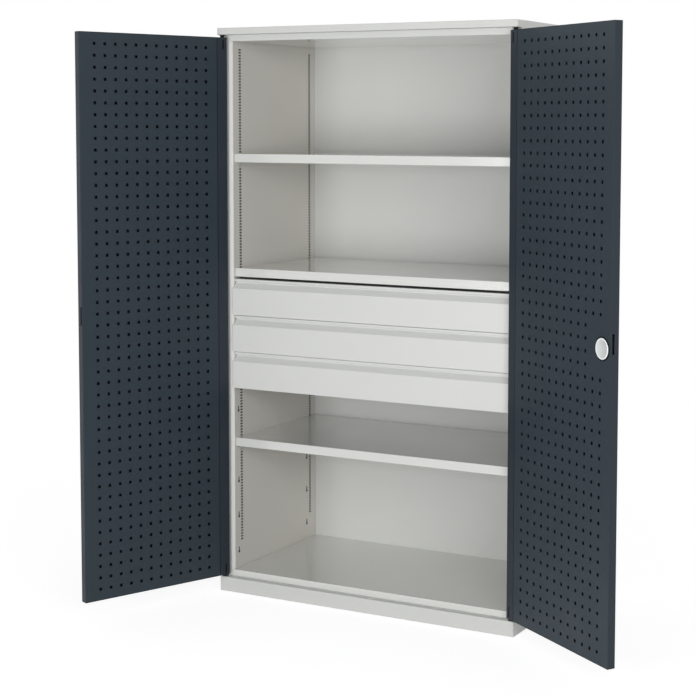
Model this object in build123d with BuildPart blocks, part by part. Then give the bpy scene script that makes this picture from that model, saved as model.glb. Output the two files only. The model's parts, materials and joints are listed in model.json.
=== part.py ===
from build123d import *
import math
import os

# A double-door tool cabinet in folded sheet steel, in millimetres.
# Origin: centre of the footprint on the floor. +X right, +Y to the back, +Z up. The front faces -Y.
# It is laid out at rest with both doors swung open and all three drawers in.

# ---------------------------------------------------------------- driving dimensions
width = 1120.0
depth = 600.0
height = 1950.0

# Sheet gauges
carcass_sheet = 1.0
base_sheet = 1.5
shelf_sheet = 1.2
door_sheet = 1.0
front_sheet = 1.2
tray_sheet = 1.0
runner_sheet = 1.5

# Carcass: depths are measured from the front plane, widths from the outer side plane
header_height = 23.0
header_depth = 55.0
stop_lip = 21.0
stop_depth = 30.0
flange_width = 27.0
liner_inset = 38.0
liner_seam = 1.5
return_depth = 8.0
rear_flange = 40.0
rear_void = 22.0
liner_fold = 15.0
lip_gap = 2.0
plinth_height = 50.0
base_flange = 48.0
ceiling_fold = 20.0
keyhole_radius = 5.0
keyhole_neck = 5.0
keyhole_rise = 12.0
keyhole_first = 128.0
keyhole_pitch = 125.0
keyhole_rows = 5
keyhole_front = 62.0
keyhole_rear = 514.0

# Shelves
shelf_height = 30.0
shelf_setback = 45.0
shelf_rear_gap = 8.0
shelf_side_gap = 0.5
shelf_return = 15.0
shelf_levels = {"lower": 535.5, "middle": 1129.0, "upper": 1523.0}
clip_width = 12.0
clip_reach = 11.0
clip_drop = 18.0
clip_sheet = 2.0
clip_front = 80.0
clip_rear = 537.0

# Doors: s runs from the hinge edge to the free edge, t from the outer face inwards
door_side_gap = 1.0
door_centre_gap = 2.0
door_top_gap = 9.0
door_bottom_gap = 7.0
door_depth = 26.0
left_open = 113.0
right_open = 146.0
stile_width = 39.0
panel_gap = 0.8
panel_fold = 12.0
hinge_slot_length = 33.0
hinge_slot_width = 6.0
hinge_slot_inset = 15.5
hinge_slot_end = 7.0

# Door pivots
pivot_inset = 12.0
pivot_depth = 13.0
pin_radius = 4.0
pin_fit = 0.05
pin_shoulder_radius = 7.0
pin_length = 12.0
block_length = 44.0
block_width = 20.0
bush_radius = 8.0
bush_flange_radius = 11.0
bush_flange = 2.0
bush_length = 10.0
bush_gap = 0.1
running_gap = 0.3
neck_gap = 1.0

# Lock, turn handle and lock rods on the right door
lock_edge = 46.0
lock_height = 985.0
spindle_size = 8.0
rosette_radius = 26.0
rosette_height = 6.0
neck_radius = 9.0
knob_radius = 20.0
knob_height = 8.0
wing_length = 46.0
wing_width = 16.0
wing_height = 12.0
wing_turn = 90.0
rosette_chamfer = 2.0
handle_chamfer = 2.5
plug_radius = 7.0
plug_length = 12.0
plug_end_gap = 1.0
keyway_width = 2.0
keyway_height = 8.0
keyway_depth = 5.0
cam_radius = 20.0
cam_sheet = 2.7
cam_pin_radius = 2.0
cam_throw = 15.0
cam_angle = 45.0
cam_gap = 0.5
cam_pin_play = 1.0
case_size = 56.0
case_depth = 16.7
case_wall = 1.5
case_back = 1.0
case_bore = 7.0
tongue_length = 60.0
tongue_width = 18.0
tongue_sheet = 3.0
tongue_gap = 0.6
nut_radius = 8.0
nut_height = 3.0
rod_width = 14.0
rod_sheet = 3.0
rod_depth = 9.8
rod_side = 13.0
rod_end_gap = 2.0
rod_end_land = 7.0
rod_slot_land = 1.6
rod_clearance = 0.5
keeper_play = 2.0
cover_radius = 33.0
cover_lap = 3.0
cover_rim = 9.0
cover_groove = 3.0
cover_height = 3.0
cover_dish = 1.5
cover_chamfer = 1.2
guide_height = 12.0
guide_wall = 4.0
guide_bridge = 2.0
guide_offset = 265.0
guide_end = 115.0
latch_slot_drop = 12.0
latch_slot_rise = 47.0
latch_slot_width = 8.0
strike_sheet = 2.0
strike_margin = 15.0

# Drawers
drawer_count = 3
drawer_pitch = 127.0
drawer_top_gap = 7.5
front_height = 124.5
front_inset = 37.0
front_return = 15.0
front_top_depth = 28.0
front_hem = 28.0
grip_lip = 8.0
grip_setback = 8.0
grip_depth = 20.0
grip_start = 32.0
grip_end = 14.0
grip_slope = 2.0
side_clearance = 1.4
trim_gap = 0.2
trim_margin = 5.0
tray_lift = 8.0
tray_height = 95.0
tray_depth = 510.0
runner_setback = 60.0
runner_length = 500.0
runner_height = 45.0
runner_width = 13.0
runner_gap = 0.3
runner_lip_gap = 2.0
inner_lip_gap = 1.0
runner_rise = 45.0

# ---------------------------------------------------------------- values worked out from them
front = -depth / 2
back = depth / 2
half = width / 2
header_bottom = height - header_height
ceiling_level = header_bottom - stop_lip
floor_level = plinth_height + stop_lip
liner_face = half - liner_inset
pan_edge = liner_face - liner_seam
return_end = stop_depth + return_depth
rear_face = depth - rear_void

door_width = (width - 2 * door_side_gap - door_centre_gap) / 2
door_bottom = plinth_height + door_bottom_gap
door_top = header_bottom - door_top_gap
door_height = door_top - door_bottom
hinge_s = pivot_inset - door_side_gap
lock_s = door_width - lock_edge
panel_start = stile_width + panel_gap
panel_top = door_top - door_sheet
panel_bottom = door_bottom + door_sheet
cam_depth = rod_depth + rod_sheet + cam_gap
tongue_depth = case_depth + case_back + tongue_gap
handle_base = -rosette_height - running_gap
handle_top = handle_base - knob_height - wing_height

drawer_stack = (drawer_count - 1) * drawer_pitch + front_height
drawer_bottom = shelf_levels["middle"] - shelf_height - drawer_top_gap - drawer_stack

parts_made = []


def save(builder, name):
    """Label a finished piece and write its STEP file."""
    builder.part.label = name
    export_step(builder.part, f"parts/{name}.step")
    parts_made.append(name)


def folded(points, thickness, side):
    """Edges of the section of a sheet folded along the given points."""
    with BuildLine() as outline:
        Polyline(*points)
        offset(amount=thickness, side=side, kind=Kind.INTERSECTION)
    return outline.edges()


def inner_side(sign):
    """The side of a left-hand (-1) or right-hand (+1) wall's outline that faces the cabinet."""
    return Side.LEFT if sign < 0 else Side.RIGHT


# ---------------------------------------------------------------- carcass
def wall_point(sign, inset, setback):
    """A plan point given by its distance in from the outer side and back from the front."""
    return (sign * (half - inset), front + setback)


def make_side_skin(sign, name):
    """Outer side wall: rear flange, side, front flange and the slanted return to the liner."""
    section = [
        wall_point(sign, rear_flange, depth),
        wall_point(sign, 0, depth),
        wall_point(sign, 0, stop_depth),
        wall_point(sign, flange_width, stop_depth),
        wall_point(sign, liner_inset, return_end),
    ]
    with BuildPart() as skin:
        with BuildSketch(Plane.XY):
            make_face(folded(section, carcass_sheet, inner_side(sign)))
        extrude(amount=height)
        with BuildSketch(Plane.XY.offset(header_bottom)):
            with Locations((0, front + header_depth / 2)):
                Rectangle(width, header_depth)
        extrude(amount=header_height, mode=Mode.SUBTRACT)
        with BuildSketch(Plane.XY):
            with Locations(wall_point(sign, carcass_sheet + half / 2, (stop_depth + return_end) / 2)):
                Rectangle(half, return_depth + 4 * carcass_sheet)
        extrude(amount=plinth_height, mode=Mode.SUBTRACT)
    save(skin, name)


def make_liner(sign, name):
    """Inner side wall with its rear fold and two columns of keyholes."""
    liner_start = return_end + carcass_sheet
    section = [
        wall_point(sign, liner_inset - liner_fold, rear_face),
        wall_point(sign, liner_inset, rear_face),
        wall_point(sign, liner_inset, liner_start),
    ]
    outward = Side.RIGHT if sign < 0 else Side.LEFT
    with BuildPart() as liner:
        with BuildSketch(Plane.XY.offset(plinth_height)):
            make_face(folded(section, carcass_sheet, outward))
        extrude(amount=header_bottom - plinth_height)
        with BuildSketch(Plane.YZ.offset(sign * liner_face)):
            for setback in (keyhole_front, keyhole_rear):
                for row in range(keyhole_rows):
                    level = keyhole_first + row * keyhole_pitch
                    with Locations((front + setback, level)):
                        Circle(keyhole_radius)
                    with Locations((front + setback, level + keyhole_rise / 2)):
                        Rectangle(keyhole_neck, keyhole_rise)
        extrude(amount=sign * carcass_sheet, mode=Mode.SUBTRACT)
    save(liner, name)


def make_back_panel():
    """Back sheet between the liners, folded back at both edges to meet the rear flanges."""
    edge = half - liner_inset + liner_fold
    section = [
        (-edge, back - carcass_sheet),
        (-edge, front + rear_face),
        (edge, front + rear_face),
        (edge, back - carcass_sheet),
    ]
    with BuildPart() as back_panel:
        with BuildSketch(Plane.XY.offset(plinth_height)):
            make_face(folded(section, carcass_sheet, Side.LEFT))
        extrude(amount=header_bottom - plinth_height)
    save(back_panel, "back_panel")


def make_base_frame():
    """Plinth ring of channel section with holes for the door bushes and the lower lock rod."""
    inner = depth - carcass_sheet
    with BuildPart() as base_frame:
        with BuildSketch(Plane.XY):
            with Locations((0, front + inner / 2)):
                Rectangle(width - 2 * carcass_sheet, inner)
            with Locations((0, front + stop_depth / 2)):
                Rectangle(width, stop_depth)
            with Locations((0, front + inner / 2)):
                Rectangle(width - 2 * base_flange, inner - 2 * base_flange, mode=Mode.SUBTRACT)
        extrude(amount=plinth_height)
        with BuildSketch(Plane.XY.offset(base_sheet)):
            with Locations((0, front + inner / 2)):
                Rectangle(width - 2 * carcass_sheet - 2 * base_sheet, inner - 2 * base_sheet)
        extrude(amount=plinth_height - 2 * base_sheet, mode=Mode.SUBTRACT)
        with BuildSketch(Plane.XY.offset(plinth_height - base_sheet)):
            for sign in (-1, 1):
                with Locations(wall_point(sign, pivot_inset, pivot_depth)):
                    Circle(bush_radius + bush_gap)
            rod_keeper(rod_side)
        extrude(amount=base_sheet, mode=Mode.SUBTRACT)
    save(base_frame, "base_frame")


def rod_keeper(side):
    """Slot that a lock rod shoots into when the right door is closed."""
    keeper_x = half - door_side_gap - (lock_s + side)
    with Locations((keeper_x, front + rod_depth + rod_sheet / 2)):
        Rectangle(rod_width + 2 * keeper_play, rod_sheet + 2 * keeper_play)


def make_header_rail():
    """Front rail over the doors: band, top, underside and the lip that the doors close against."""
    level = header_bottom
    section = [
        (front + header_depth, height),
        (front, height),
        (front, level),
        (front + stop_depth, level),
    ]
    with BuildPart() as header_rail:
        with BuildSketch(Plane.YZ.offset(-half)):
            make_face(folded(section, carcass_sheet, Side.LEFT))
        extrude(amount=width)
        for sign in (-1, 1):
            with BuildSketch(Plane.YZ.offset(sign * half)):
                with Locations((front + header_depth / 2, height - header_height / 2)):
                    Rectangle(header_depth, header_height)
            extrude(amount=-sign * carcass_sheet)
        with BuildSketch(Plane.XZ.offset(-front - stop_depth)):
            with Locations((0, (ceiling_level + level + carcass_sheet) / 2)):
                Rectangle(width - 2 * (flange_width + lip_gap), stop_lip + carcass_sheet)
        extrude(amount=-carcass_sheet)
        with BuildSketch(Plane.XY.offset(level)):
            for sign in (-1, 1):
                with Locations(wall_point(sign, pivot_inset, pivot_depth)):
                    Circle(bush_radius + bush_gap)
            rod_keeper(-rod_side)
        extrude(amount=carcass_sheet, mode=Mode.SUBTRACT)
    save(header_rail, "header_rail")


def make_top_panel():
    """Outer top: a shallow tray turned down between the side walls behind the header."""
    inner = depth - carcass_sheet - header_depth
    middle = front + header_depth + inner / 2
    with BuildPart() as top_panel:
        with BuildSketch(Plane.XY.offset(header_bottom)):
            with Locations((0, middle)):
                Rectangle(width - 2 * carcass_sheet, inner)
        extrude(amount=header_height)
        with BuildSketch(Plane.XY.offset(header_bottom)):
            with Locations((0, middle)):
                Rectangle(width - 4 * carcass_sheet, inner - 2 * carcass_sheet)
        extrude(amount=header_height - carcass_sheet, mode=Mode.SUBTRACT)
    save(top_panel, "top_panel")


def make_ceiling_panel():
    """Inner ceiling: a tray turned up between the liners, behind the header lip."""
    start = stop_depth + carcass_sheet
    span = rear_face - start
    middle = front + start + span / 2
    with BuildPart() as ceiling_panel:
        with BuildSketch(Plane.XY.offset(ceiling_level)):
            with Locations((0, middle)):
                Rectangle(2 * pan_edge, span)
        extrude(amount=ceiling_fold)
        with BuildSketch(Plane.XY.offset(ceiling_level + carcass_sheet)):
            with Locations((0, middle)):
                Rectangle(2 * (pan_edge - carcass_sheet), span - 2 * carcass_sheet)
        extrude(amount=ceiling_fold, mode=Mode.SUBTRACT)
    save(ceiling_panel, "ceiling_panel")


def make_floor_pan():
    """Cabinet floor: a tray turned down onto the base frame, with a wider front lip."""
    start = stop_depth + carcass_sheet
    span = rear_face - start
    middle = front + start + span / 2
    with BuildPart() as floor_pan:
        with BuildSketch(Plane.XY.offset(plinth_height)):
            with Locations((0, middle)):
                Rectangle(2 * pan_edge, span)
        extrude(amount=stop_lip)
        with BuildSketch(Plane.XY.offset(plinth_height)):
            with Locations((0, middle)):
                Rectangle(2 * (pan_edge - carcass_sheet), span - 2 * carcass_sheet)
        extrude(amount=stop_lip - carcass_sheet, mode=Mode.SUBTRACT)
        with BuildSketch(Plane.XZ.offset(-front - stop_depth)):
            with Locations((0, plinth_height + stop_lip / 2)):
                Rectangle(width - 2 * (flange_width + lip_gap), stop_lip)
        extrude(amount=-carcass_sheet)
    save(floor_pan, "floor_pan")


def make_pivot_bushes():
    """Four flanged bushes that carry the door pins, pressed into the header and the base frame."""
    with BuildPart() as bushes:
        for sign in (-1, 1):
            centre = wall_point(sign, pivot_inset, pivot_depth)
            for level, up in ((plinth_height, 1), (header_bottom, -1)):
                with BuildSketch(Plane.XY.offset(level)):
                    with Locations(centre):
                        Circle(bush_flange_radius)
                        Circle(pin_radius + pin_fit, mode=Mode.SUBTRACT)
                extrude(amount=up * bush_flange)
                with BuildSketch(Plane.XY.offset(level)):
                    with Locations(centre):
                        Circle(bush_radius)
                        Circle(pin_radius + pin_fit, mode=Mode.SUBTRACT)
                extrude(amount=-up * bush_length)
    save(bushes, "pivot_bushes")


def make_shelf(top, name):
    """Shelf tray turned down on all sides, with stiffening returns along the front and rear."""
    shelf_width = 2 * (liner_face - shelf_side_gap)
    shelf_depth = rear_face - shelf_rear_gap - shelf_setback
    middle = front + shelf_setback + shelf_depth / 2
    bottom = top - shelf_height
    with BuildPart() as shelf:
        with BuildSketch(Plane.XY.offset(bottom)):
            with Locations((0, middle)):
                Rectangle(shelf_width, shelf_depth)
        extrude(amount=shelf_height)
        with BuildSketch(Plane.XY.offset(bottom + shelf_sheet)):
            with Locations((0, middle)):
                Rectangle(shelf_width - 2 * shelf_sheet, shelf_depth - 2 * shelf_sheet)
        extrude(amount=shelf_height - 2 * shelf_sheet, mode=Mode.SUBTRACT)
        with BuildSketch(Plane.XY.offset(bottom)):
            with Locations((0, middle)):
                Rectangle(shelf_width - 2 * shelf_sheet, shelf_depth - 2 * shelf_return)
        extrude(amount=shelf_sheet, mode=Mode.SUBTRACT)
    save(shelf, name)


def make_shelf_clips():
    """Angle clips on the liners, four under each shelf."""
    with BuildPart() as clips:
        for top in shelf_levels.values():
            seat = top - shelf_height
            for sign in (-1, 1):
                face = sign * liner_face
                section = [(face, seat - clip_drop), (face, seat), (face - sign * clip_reach, seat)]
                turn = Side.RIGHT if sign < 0 else Side.LEFT
                for setback in (clip_front, clip_rear):
                    with BuildSketch(Plane.XZ.offset(-front - setback)):
                        make_face(folded(section, clip_sheet, turn))
                    extrude(amount=clip_width / 2, both=True)
    save(clips, "shelf_clips")


# ---------------------------------------------------------------- doors
def door_plan(sign):
    """Plan plane on a door's pivot axis, turned with the door: left -1, right +1."""
    turn = math.radians(sign * (left_open if sign < 0 else right_open))
    centre = wall_point(sign, pivot_inset, pivot_depth)
    return Plane(origin=(*centre, 0), x_dir=(math.cos(turn), math.sin(turn), 0), z_dir=(0, 0, 1))


def door_point(sign, s, t):
    """A point of a door's plan, from its distance s from the hinge edge and t from the outer face."""
    return (-sign * (s - hinge_s), t - pivot_depth)


def door_face(sign, t):
    """Upright plane parallel to a door's outer face, t inside it, facing out of the door."""
    plan = door_plan(sign)
    inward = plan.y_dir
    return Plane(
        origin=plan.origin + inward * (t - pivot_depth),
        x_dir=plan.x_dir,
        z_dir=inward * -1,
    )


def face_point(sign, s, level):
    """A point on a door_face plane."""
    return (-sign * (s - hinge_s), level)


def door_slab(sign, s_range, z_range, t_range, mode=Mode.ADD):
    """A rectangular block of a door, between two values each of s, z and t."""
    with BuildSketch(door_face(sign, t_range[0])) as outline:
        with Locations(face_point(sign, sum(s_range) / 2, sum(z_range) / 2)):
            Rectangle(s_range[1] - s_range[0], z_range[1] - z_range[0])
    extrude(outline.sketch, amount=t_range[0] - t_range[1], mode=mode)


def door_disc(sign, s, level, radius, t_range, mode=Mode.ADD):
    """A round disc or hole of a door, with its axis through the door's thickness."""
    with BuildSketch(door_face(sign, t_range[0])) as outline:
        with Locations(face_point(sign, s, level)):
            Circle(radius)
    extrude(outline.sketch, amount=t_range[0] - t_range[1], mode=mode)


def make_door_skin(sign, name):
    """Outer door tray with the hinge stile folded round to its inner face."""
    with BuildPart() as skin:
        door_slab(sign, (0, door_width), (door_bottom, door_top), (0, door_depth))
        door_slab(
            sign,
            (door_sheet, door_width - door_sheet),
            (door_bottom + door_sheet, door_top - door_sheet),
            (door_sheet, door_depth),
            Mode.SUBTRACT,
        )
        door_slab(
            sign,
            (door_sheet, stile_width),
            (door_bottom + door_sheet, door_top - door_sheet),
            (door_depth - door_sheet, door_depth),
        )
        cut_hinge_slots(sign)
        cut_latch_slot(sign)
        if sign > 0:
            cut_lock_openings()
        with BuildSketch(door_plan(sign)) as pin_holes:
            Circle(pin_radius + bush_gap)
        extrude(pin_holes.sketch, amount=height, mode=Mode.SUBTRACT)
    save(skin, name)


def cut_hinge_slots(sign):
    """Slots in the stile that reach the pivot blocks."""
    across = (hinge_slot_inset - hinge_slot_width / 2, hinge_slot_inset + hinge_slot_width / 2)
    low = door_bottom + hinge_slot_end
    high = door_top - hinge_slot_end
    through = (door_depth - door_sheet, door_depth)
    door_slab(sign, across, (low, low + hinge_slot_length), through, Mode.SUBTRACT)
    door_slab(sign, across, (high - hinge_slot_length, high), through, Mode.SUBTRACT)


def latch_slot_levels():
    """Lower and upper end of the latch slots."""
    return (lock_height - latch_slot_drop, lock_height + latch_slot_rise)


def latch_slot_depths():
    """The two sides of the latch slots, centred on the tongue's thickness."""
    middle = tongue_depth + tongue_sheet / 2
    return (middle - latch_slot_width / 2, middle + latch_slot_width / 2)


def cut_latch_slot(sign):
    """Slot in the free edge that the latch tongue swings through."""
    edge = (door_width - 2 * door_sheet, door_width + door_sheet)
    door_slab(sign, edge, latch_slot_levels(), latch_slot_depths(), Mode.SUBTRACT)


def cut_lock_openings():
    """Round hole for the handle's neck, and slots in the top and bottom for the lock rods."""
    door_disc(1, lock_s, lock_height, neck_radius + neck_gap, (0, door_sheet), Mode.SUBTRACT)
    depths = (rod_depth - rod_clearance, rod_depth + rod_sheet + rod_clearance)
    reach = rod_width / 2 + rod_clearance
    for side, level in ((-rod_side, door_top), (rod_side, door_bottom)):
        across = (lock_s + side - reach, lock_s + side + reach)
        door_slab(1, across, (level - 2 * door_sheet, level + 2 * door_sheet), depths, Mode.SUBTRACT)


def make_door_panel(sign, name):
    """Inner door panel, a flat tray whose edges are folded into the door."""
    across = (panel_start, door_width - door_sheet)
    with BuildPart() as panel:
        door_slab(sign, across, (panel_bottom, panel_top), (door_depth - panel_fold, door_depth))
        door_slab(
            sign,
            (across[0] + door_sheet, across[1] - door_sheet),
            (panel_bottom + door_sheet, panel_top - door_sheet),
            (door_depth - panel_fold, door_depth - door_sheet),
            Mode.SUBTRACT,
        )
        cut_latch_slot(sign)
        if sign > 0:
            sheet = (door_depth - door_sheet, door_depth)
            door_disc(1, lock_s, lock_height, cover_radius - cover_lap, sheet, Mode.SUBTRACT)
    save(panel, name)


def make_pivot_pins(sign, name):
    """The door's two hinge pins, each with a thrust shoulder and a block inside the door."""
    plan = door_plan(sign)
    shoulder_gap = bush_flange + running_gap
    ends = (
        (door_bottom, plinth_height, door_sheet, 1),
        (door_top, header_bottom, -door_sheet, -1),
    )
    with BuildPart() as pins:
        for edge, bearing, wall, up in ends:
            with BuildSketch(plan.offset(bearing - up * pin_length)) as pin:
                Circle(pin_radius)
            reach = abs(edge - bearing) + pin_length + door_sheet + block_length / 2
            extrude(pin.sketch, amount=up * reach)
            with BuildSketch(plan.offset(bearing + up * shoulder_gap)) as shoulder:
                Circle(pin_shoulder_radius)
            extrude(shoulder.sketch, amount=up * (abs(edge - bearing) - shoulder_gap))
            with BuildSketch(plan.offset(edge + wall)) as block:
                with Locations((-sign * (door_sheet + block_width / 2 - hinge_s), 0)):
                    Rectangle(block_width, door_depth - 2 * door_sheet)
            extrude(block.sketch, amount=up * block_length)
    save(pins, name)


def make_strike_plate():
    """Doubler behind the slot in the left door's free edge that the latch tongue enters."""
    levels = latch_slot_levels()
    outer = (levels[0] - strike_margin, levels[1] + strike_margin)
    depths = (door_sheet, door_depth - panel_fold)
    plate_s = door_width - door_sheet
    with BuildPart() as plate:
        door_slab(-1, (plate_s - strike_sheet, plate_s), outer, depths)
        slot = latch_slot_depths()
        door_slab(-1, (plate_s - strike_sheet, plate_s), levels, (slot[0], door_depth), Mode.SUBTRACT)
    save(plate, "strike_plate")


# ---------------------------------------------------------------- lock on the right door
def make_handle_rosette():
    """Round rosette on the outer face, the bearing of the turn handle."""
    with BuildPart() as rosette:
        door_disc(1, lock_s, lock_height, rosette_radius, (-rosette_height, 0))
        chamfer(rosette.faces().sort_by(door_axis()).last.edges(), length=rosette_chamfer)
        bore = neck_radius + pin_fit
        door_disc(1, lock_s, lock_height, bore, (-rosette_height, 0), Mode.SUBTRACT)
    save(rosette, "handle_rosette")


def door_axis():
    """The lock's axis, out of the right door's outer face."""
    face = door_face(1, 0)
    return Axis(face.from_local_coords(face_point(1, lock_s, lock_height)), face.z_dir)


def make_turn_handle():
    """Knob with a finger wing, its neck turning in the rosette; the key plug sits in its end."""
    with BuildPart() as handle:
        door_disc(1, lock_s, lock_height, neck_radius, (handle_base, door_sheet))
        door_disc(1, lock_s, lock_height, knob_radius, (handle_base - knob_height, handle_base))
        with BuildSketch(door_face(1, handle_top)) as wing:
            with Locations(face_point(1, lock_s, lock_height)):
                SlotOverall(wing_length, wing_width, rotation=wing_turn)
        extrude(wing.sketch, amount=-wing_height)
        chamfer(handle.faces().sort_by(door_axis()).last.edges(), length=handle_chamfer)
        socket = (handle_top, handle_top + plug_length + plug_end_gap)
        door_disc(1, lock_s, lock_height, plug_radius + pin_fit, socket, Mode.SUBTRACT)
        square_hole((handle_base, door_sheet))
    save(handle, "turn_handle")


def square_hole(t_range, mode=Mode.SUBTRACT):
    """The square of the spindle on the lock's axis."""
    side = spindle_size / 2
    across = (lock_s - side, lock_s + side)
    door_slab(1, across, (lock_height - side, lock_height + side), t_range, mode)


def make_lock_plug():
    """Key plug in the end of the turn handle, with its keyway."""
    with BuildPart() as plug:
        door_disc(1, lock_s, lock_height, plug_radius, (handle_top, handle_top + plug_length))
        across = (lock_s - keyway_width / 2, lock_s + keyway_width / 2)
        levels = (lock_height - keyway_height / 2, lock_height + keyway_height / 2)
        door_slab(1, across, levels, (handle_top, handle_top + keyway_depth), Mode.SUBTRACT)
    save(plug, "lock_plug")


def make_spindle():
    """Square spindle from the handle through the lock case to the latch tongue."""
    with BuildPart() as spindle:
        square_hole((handle_base, tongue_depth + tongue_sheet + nut_height), Mode.ADD)
    save(spindle, "spindle")


def make_lock_cam():
    """Cam disc on the spindle with the two pins that drive the lock rods."""
    angle = math.radians(cam_angle)
    with BuildPart() as cam:
        door_disc(1, lock_s, lock_height, cam_radius, (cam_depth, cam_depth + cam_sheet))
        square_hole((cam_depth, cam_depth + cam_sheet))
        for side in (-1, 1):
            pin_s = lock_s + side * cam_throw * math.cos(angle)
            level = lock_height + side * cam_throw * math.sin(angle)
            door_disc(1, pin_s, level, cam_pin_radius, (rod_depth, cam_depth))
    save(cam, "lock_cam")


def make_lock_case():
    """Case round the cam, open towards the outer skin, slotted for the rods."""
    reach = case_size / 2
    levels = (lock_height - reach, lock_height + reach)
    with BuildPart() as case:
        back_plate = (case_depth, case_depth + case_back)
        door_slab(1, (lock_s - reach, lock_s + reach), levels, (door_sheet, back_plate[1]))
        inner = reach - case_wall
        inside = (lock_height - inner, lock_height + inner)
        door_slab(1, (lock_s - inner, lock_s + inner), inside, (door_sheet, case_depth), Mode.SUBTRACT)
        door_disc(1, lock_s, lock_height, case_bore, back_plate, Mode.SUBTRACT)
        depths = (rod_depth - running_gap, rod_depth + rod_sheet + running_gap)
        rod_reach = rod_width / 2 + running_gap
        for side, up in ((-rod_side, 1), (rod_side, -1)):
            edge = lock_height + up * (reach - case_wall / 2)
            across = (lock_s + side - rod_reach, lock_s + side + rod_reach)
            door_slab(1, across, (edge - case_wall, edge + case_wall), depths, Mode.SUBTRACT)
    save(case, "lock_case")


def make_latch_tongue():
    """Latch tongue on the spindle, upright when the door is unlocked."""
    with BuildPart() as tongue:
        with BuildSketch(door_face(1, tongue_depth)) as outline:
            with Locations(face_point(1, lock_s, lock_height)):
                Circle(tongue_width / 2)
            with Locations(face_point(1, lock_s, lock_height + tongue_length / 2)):
                Rectangle(tongue_width, tongue_length)
        extrude(outline.sketch, amount=-tongue_sheet)
        square_hole((tongue_depth, tongue_depth + tongue_sheet))
    save(tongue, "latch_tongue")


def make_spindle_nut():
    """Retaining nut on the end of the spindle."""
    start = tongue_depth + tongue_sheet
    with BuildPart() as nut:
        with BuildSketch(door_face(1, start)) as outline:
            with Locations(face_point(1, lock_s, lock_height)):
                RegularPolygon(nut_radius, 6)
        extrude(outline.sketch, amount=-nut_height)
        square_hole((start, start + nut_height))
    save(nut, "spindle_nut")


def make_lock_cover():
    """Dished round cover over the lock on the door's inner face."""
    with BuildPart() as cover:
        door_disc(1, lock_s, lock_height, cover_radius, (door_depth, door_depth + cover_height))
        chamfer(cover.faces().sort_by(door_axis()).first.edges(), length=cover_chamfer)
        dish = (door_depth + cover_height - cover_dish, door_depth + cover_height)
        door_disc(1, lock_s, lock_height, cover_radius - cover_rim, dish, Mode.SUBTRACT)
        door_disc(1, lock_s, lock_height, cover_radius - cover_rim - cover_groove, dish)
    save(cover, "lock_cover")


def make_lock_rod(up, name):
    """Flat lock rod with a cross slot at its inner end for the cam pin."""
    side = -up * rod_side
    pin_level = lock_height - up * cam_throw * math.sin(math.radians(cam_angle))
    inner_end = pin_level - up * rod_end_land
    outer_end = (door_top if up > 0 else door_bottom) - up * rod_end_gap
    levels = tuple(sorted((inner_end, outer_end)))
    with BuildPart() as rod:
        across = (lock_s + side - rod_width / 2, lock_s + side + rod_width / 2)
        door_slab(1, across, levels, (rod_depth, rod_depth + rod_sheet))
        slot_height = 2 * (cam_pin_radius + cam_pin_play)
        with BuildSketch(door_face(1, rod_depth)) as slot:
            with Locations(face_point(1, lock_s + side, pin_level)):
                SlotOverall(rod_width - 2 * rod_slot_land, slot_height)
        extrude(slot.sketch, amount=-rod_sheet, mode=Mode.SUBTRACT)
    save(rod, name)


def make_rod_guides():
    """Guide blocks on the inside of the outer skin that the lock rods slide in."""
    body = rod_width / 2 + guide_wall
    bore = rod_width / 2 + running_gap
    depths = (rod_depth - running_gap, rod_depth + rod_sheet + running_gap)
    upper = (door_top - guide_end, lock_height + guide_offset)
    lower = (door_bottom + guide_end, lock_height - guide_offset)
    with BuildPart() as guides:
        for rod_s, centres in ((lock_s - rod_side, upper), (lock_s + rod_side, lower)):
            for level in centres:
                levels = (level - guide_height / 2, level + guide_height / 2)
                across = (rod_s - body, rod_s + body)
                door_slab(1, across, levels, (door_sheet, depths[1] + guide_bridge))
                door_slab(1, (rod_s - bore, rod_s + bore), levels, depths, Mode.SUBTRACT)
    save(guides, "rod_guides")


# ---------------------------------------------------------------- drawers
def make_drawer_front(level, name):
    """Folded drawer front with a deep finger groove along its whole width under a set-back lip."""
    top = level + front_height
    face = front + stop_depth
    section = [
        (face + front_return, level),
        (face, level),
        (face, top - grip_start),
        (face + grip_depth, top - grip_end),
        (face + grip_depth, top - grip_lip - grip_slope),
        (face + grip_setback, top - grip_lip),
        (face + grip_setback, top),
        (face + front_top_depth, top),
        (face + front_top_depth, top - front_hem),
    ]
    span = half - front_inset
    with BuildPart() as drawer_front:
        with BuildSketch(Plane.YZ.offset(-span)):
            make_face(folded(section, front_sheet, Side.RIGHT))
        extrude(amount=2 * span)
        for sign in (-1, 1):
            with BuildSketch(Plane.XY.offset(level)):
                make_face(front_trim(sign).edges())
            extrude(amount=front_height, mode=Mode.SUBTRACT)
    save(drawer_front, name)


def front_trim(sign):
    """Plan outline cut from a drawer front's ends so that it clears the slanted side return."""
    slope = return_depth / (liner_inset - flange_width)
    start = stop_depth + front_sheet + trim_gap
    inner = liner_inset + side_clearance
    end = start + (inner - front_inset) * slope
    far = stop_depth + 2 * front_top_depth
    with BuildLine() as outline:
        Polyline(
            wall_point(sign, front_inset - trim_margin, start),
            wall_point(sign, front_inset, start),
            wall_point(sign, inner, end),
            wall_point(sign, inner, far),
            wall_point(sign, front_inset - trim_margin, far),
            close=True,
        )
    return outline


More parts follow.
